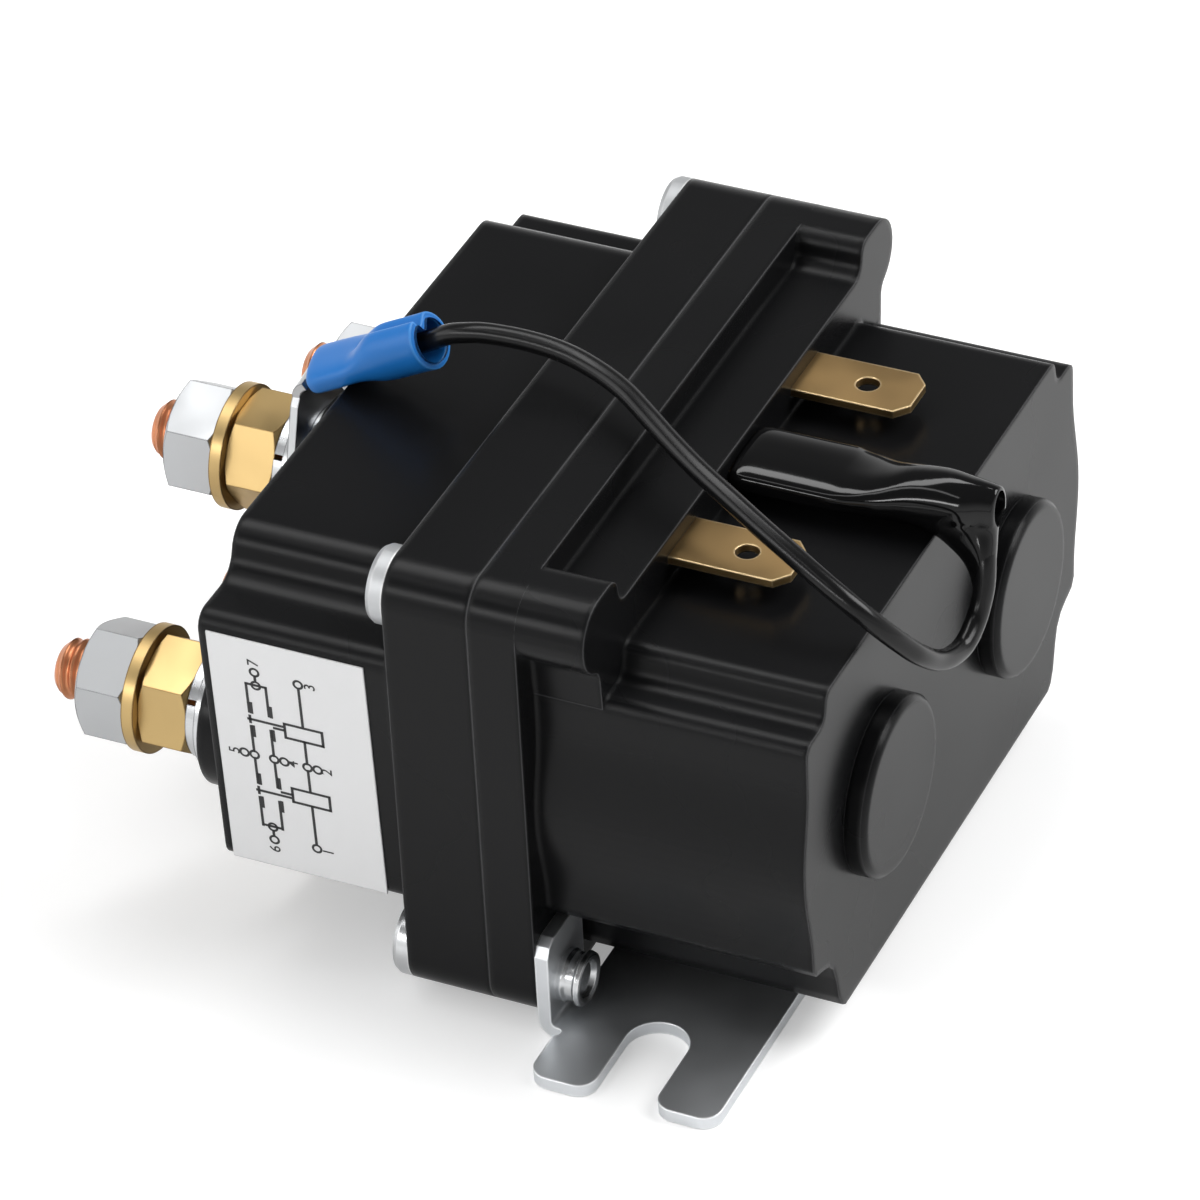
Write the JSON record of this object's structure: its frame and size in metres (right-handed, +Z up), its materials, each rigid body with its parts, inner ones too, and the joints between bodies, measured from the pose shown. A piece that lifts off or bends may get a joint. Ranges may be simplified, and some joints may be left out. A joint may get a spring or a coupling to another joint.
{
  "type": "dual solenoid reversing contactor",
  "caption": "Black housing with twin coils behind and copper power studs in front, a foot bracket with open slots, spade tabs on top and a jumper lead with plug-on sleeves",
  "frame": {"origin": "centre of the two foot slots, on the bracket's underside", "axes": "+X runs from the studs towards the coils, +Y across the part, +Z up away from the bracket"},
  "size_m": [0.085, 0.0826, 0.0522],
  "materials": {
    "housing_plastic": "semi-gloss black moulded",
    "label_foil": "silver-grey printed foil",
    "zinc_sheet": "bright zinc plated sheet",
    "rivet_steel": "bright plated",
    "zinc_steel": "bright zinc plated",
    "copper": "bare copper",
    "brass": "bare brass",
    "blue_plastic": "satin blue nylon",
    "soft_black": "glossy black vinyl",
    "contact_silver": "silver alloy",
    "magnet_iron": "plain soft iron, thinly plated",
    "nylon": "natural nylon",
    "varnished_wire": "enamelled copper wire",
    "spring_steel": "drawn spring wire"
  },
  "bodies": {
    "frame": {"bracket": "zinc_sheet", "front_cover": "housing_plastic", "coil_housing": "housing_plastic", "rear_plugs": "housing_plastic", "label": "label_foil", "rivets_upper": "rivet_steel", "rivets_lower": "rivet_steel", "stud_near": "copper", "stud_far": "copper", "stud_top": "copper", "stud_bottom": "copper", "outer_nuts": "zinc_steel", "brass_washers": "brass", "inner_nuts": "brass", "spring_washers": "zinc_steel", "flat_washers": "zinc_steel", "ring_lug": "zinc_steel", "lug_sleeve": "blue_plastic", "lug_terminal": "brass", "tab_sleeve": "soft_black", "tab_terminal": "brass", "jumper_lead": "soft_black", "spade_tabs": "brass", "coil_leads": "varnished_wire", "strap_near": "copper", "strap_far": "copper", "bar_top": "copper", "bar_bottom": "copper", "contact_tips": "contact_silver", "partition": "housing_plastic", "pole_plate": "magnet_iron", "yoke": "magnet_iron", "core_near": "magnet_iron", "core_far": "magnet_iron", "bobbin_near": "nylon", "bobbin_far": "nylon", "winding_near": "varnished_wire", "winding_far": "varnished_wire", "return_spring_near": "spring_steel", "return_spring_far": "spring_steel"},
    "armature_near": {"plunger_near": "magnet_iron", "rod_near": "nylon", "bridge_near": "copper", "bridge_tips_near": "contact_silver", "clip_near": "zinc_steel", "contact_spring_near": "spring_steel"},
    "armature_far": {"plunger_far": "magnet_iron", "rod_far": "nylon", "bridge_far": "copper", "bridge_tips_far": "contact_silver", "clip_far": "zinc_steel", "contact_spring_far": "spring_steel"}
  },
  "joints": [
    {"name": "pull_in_near", "type": "slide", "parent": "frame", "child": "armature_near", "axis": [1, 0, 0], "range_m": [0, 0.0022], "stiffness_N_per_m": 900, "springref_m": -0.002, "deforming": ["return_spring_near"]},
    {"name": "pull_in_far", "type": "slide", "parent": "frame", "child": "armature_far", "axis": [1, 0, 0], "range_m": [0, 0.0022], "stiffness_N_per_m": 900, "springref_m": -0.002, "deforming": ["return_spring_far"]}
  ]
}
